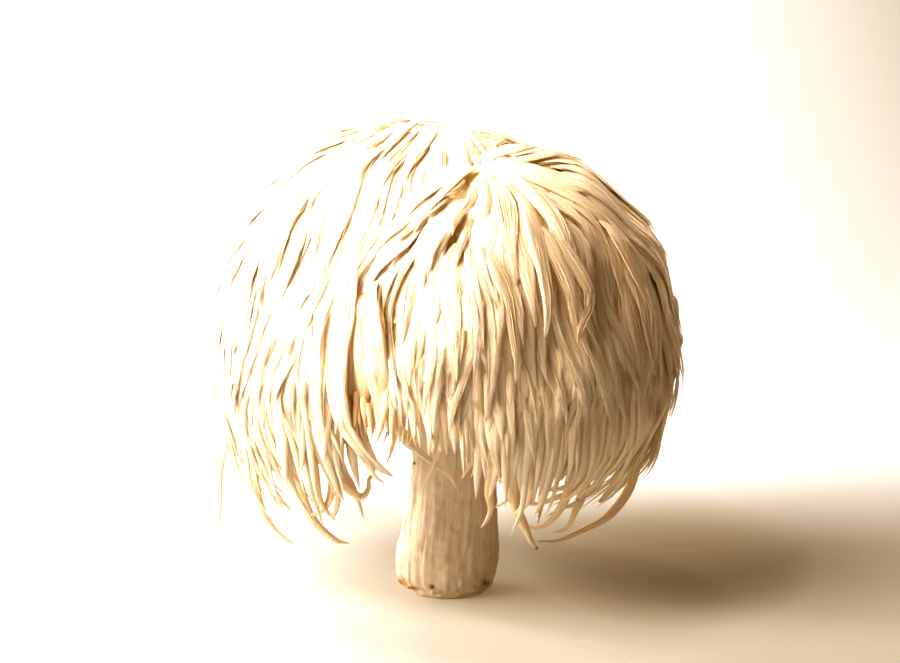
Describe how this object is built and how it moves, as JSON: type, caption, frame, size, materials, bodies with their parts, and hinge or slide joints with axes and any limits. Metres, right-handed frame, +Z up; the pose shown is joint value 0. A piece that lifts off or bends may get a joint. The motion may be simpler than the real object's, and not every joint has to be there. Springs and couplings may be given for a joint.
{
  "type": "lion's mane mushroom",
  "caption": "Fresh lion's mane mushroom standing on its cut foot: a rounded two-lobed cap of hanging cream spines over a short stout stem.",
  "frame": {"origin": "centre of the flat cut foot, on the surface that the mushroom stands on", "axes": "+Z up along the stem, -Y the front as pictured, +X to the right in that view"},
  "size_m": [0.1407, 0.1273, 0.1421],
  "materials": {
    "mane": "matt moist fibrous mushroom spines, cream, tan in the hollows",
    "stem_flesh": "matt mushroom flesh with fine upright fibres and a brown rim at the cut foot"
  },
  "bodies": {
    "root": {"cap": "mane", "stem": "stem_flesh"}
  },
  "joints": []
}
